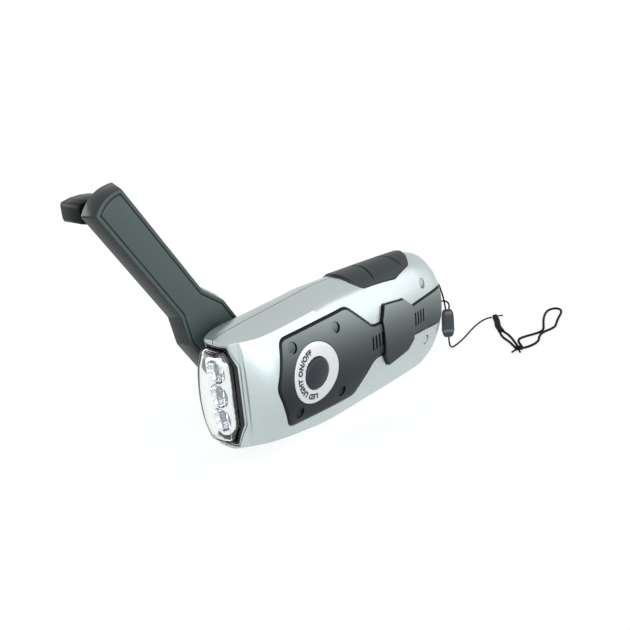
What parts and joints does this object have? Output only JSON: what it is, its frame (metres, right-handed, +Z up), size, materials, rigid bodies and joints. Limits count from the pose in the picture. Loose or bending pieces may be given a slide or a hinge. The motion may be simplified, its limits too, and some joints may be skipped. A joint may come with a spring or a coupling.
{
  "type": "hand crank flashlight",
  "caption": "Flat palm-size torch with diodes behind a clear front lens, a fold-out winding crank with a knob, a push button and a wrist strap.",
  "frame": {"origin": "middle of the flat foot that the torch stands on, on the parting plane of the two half shells", "axes": "+X forward along the beam, +Y out of the broad side with the button, +Z up from the foot to the grip pad"},
  "size_m": [0.2437, 0.0851, 0.1103],
  "materials": {
    "silver_case": "satin silver paint",
    "inlay": "satin",
    "grip": "matte",
    "button": "satin",
    "arm_plastic": "satin",
    "knob_plastic": "gloss",
    "clear_plastic": "clear gloss",
    "chrome_plastic": "vacuum metallised",
    "diode": "clear gloss",
    "seal": "matte",
    "board": "solder mask",
    "steel": "plain",
    "cell_case": "plain",
    "bronze": "sintered",
    "copper": "enamelled wire",
    "magnet": "plain",
    "natural_plastic": "natural",
    "black_plastic": "matte",
    "cord": "braided",
    "bead_plastic": "satin"
  },
  "bodies": {
    "torch": {"button_side_shell": "silver_case", "crank_side_shell": "silver_case", "inlay_panel": "inlay", "button_ring": "silver_case", "clasp": "inlay", "grip_pad": "grip", "case_screw_1": "steel", "case_screw_2": "steel", "case_screw_3": "steel", "case_screw_4": "steel", "case_screw_5": "steel", "case_screw_6": "steel", "lens": "clear_plastic", "lens_seal": "seal", "reflector": "chrome_plastic", "led_1": "diode", "led_2": "diode", "led_3": "diode", "led_board": "board", "switch_body": "black_plastic", "control_board": "board", "gear_plate": "black_plastic", "plate_screw_1": "steel", "plate_screw_2": "steel", "crank_bush": "bronze", "idler_axle": "steel", "generator_can": "steel", "generator_coil": "copper", "generator_cap": "black_plastic", "battery_cell_1": "cell_case", "battery_cell_2": "cell_case", "battery_cell_3": "cell_case", "strap_anchor": "steel", "strap_eyelet_string_1": "cord", "strap_eyelet_string_2": "cord", "strap_bead": "bead_plastic", "strap_string": "cord", "strap_top_knot": "cord", "strap_sleeve": "cord", "strap_lead_1": "cord", "strap_lead_2": "cord", "strap_knot": "cord", "strap_wrist_loop": "cord"},
    "crank": {"crank_hub": "arm_plastic", "crank_shaft": "steel", "crank_gear": "natural_plastic"},
    "arm": {"crank_arm": "arm_plastic", "hinge_pin": "steel", "knob_pin": "steel"},
    "knob": {"crank_knob": "knob_plastic"},
    "idler": {"idler_gear": "natural_plastic"},
    "rotor": {"rotor_magnet": "magnet", "rotor_shaft": "steel"},
    "button": {"power_button": "button", "switch_plunger": "natural_plastic"}
  },
  "joints": [
    {"name": "crank_spin", "type": "hinge", "parent": "torch", "child": "crank", "pos_m": [0.037, -0.009, 0.028], "axis": [0, 1, 0], "continuous": true},
    {"name": "arm_fold", "type": "hinge", "parent": "crank", "child": "arm", "pos_m": [0.037, -0.019, 0.028], "axis": [0.8434, 0, -0.5373], "range_deg": [0, 90]},
    {"name": "knob_spin", "type": "hinge", "parent": "arm", "child": "knob", "pos_m": [0.08321, -0.037, 0.10053], "axis": [0, 1, 0], "continuous": true},
    {"name": "idler_spin", "type": "hinge", "parent": "torch", "child": "idler", "pos_m": [0.021, -0.004, 0.028], "axis": [0, 1, 0], "continuous": true},
    {"name": "rotor_spin", "type": "hinge", "parent": "torch", "child": "rotor", "pos_m": [0.0072, 0, 0.028], "axis": [0, 1, 0], "continuous": true},
    {"name": "button_press", "type": "slide", "parent": "torch", "child": "button", "axis": [0, -1, 0], "range_m": [0, 0.0008], "stiffness_N_per_m": 400}
  ],
  "couplings": [
    {"joint": "idler_spin", "follows": "crank_spin", "ratio": -3},
    {"joint": "rotor_spin", "follows": "crank_spin", "ratio": 10.8}
  ]
}
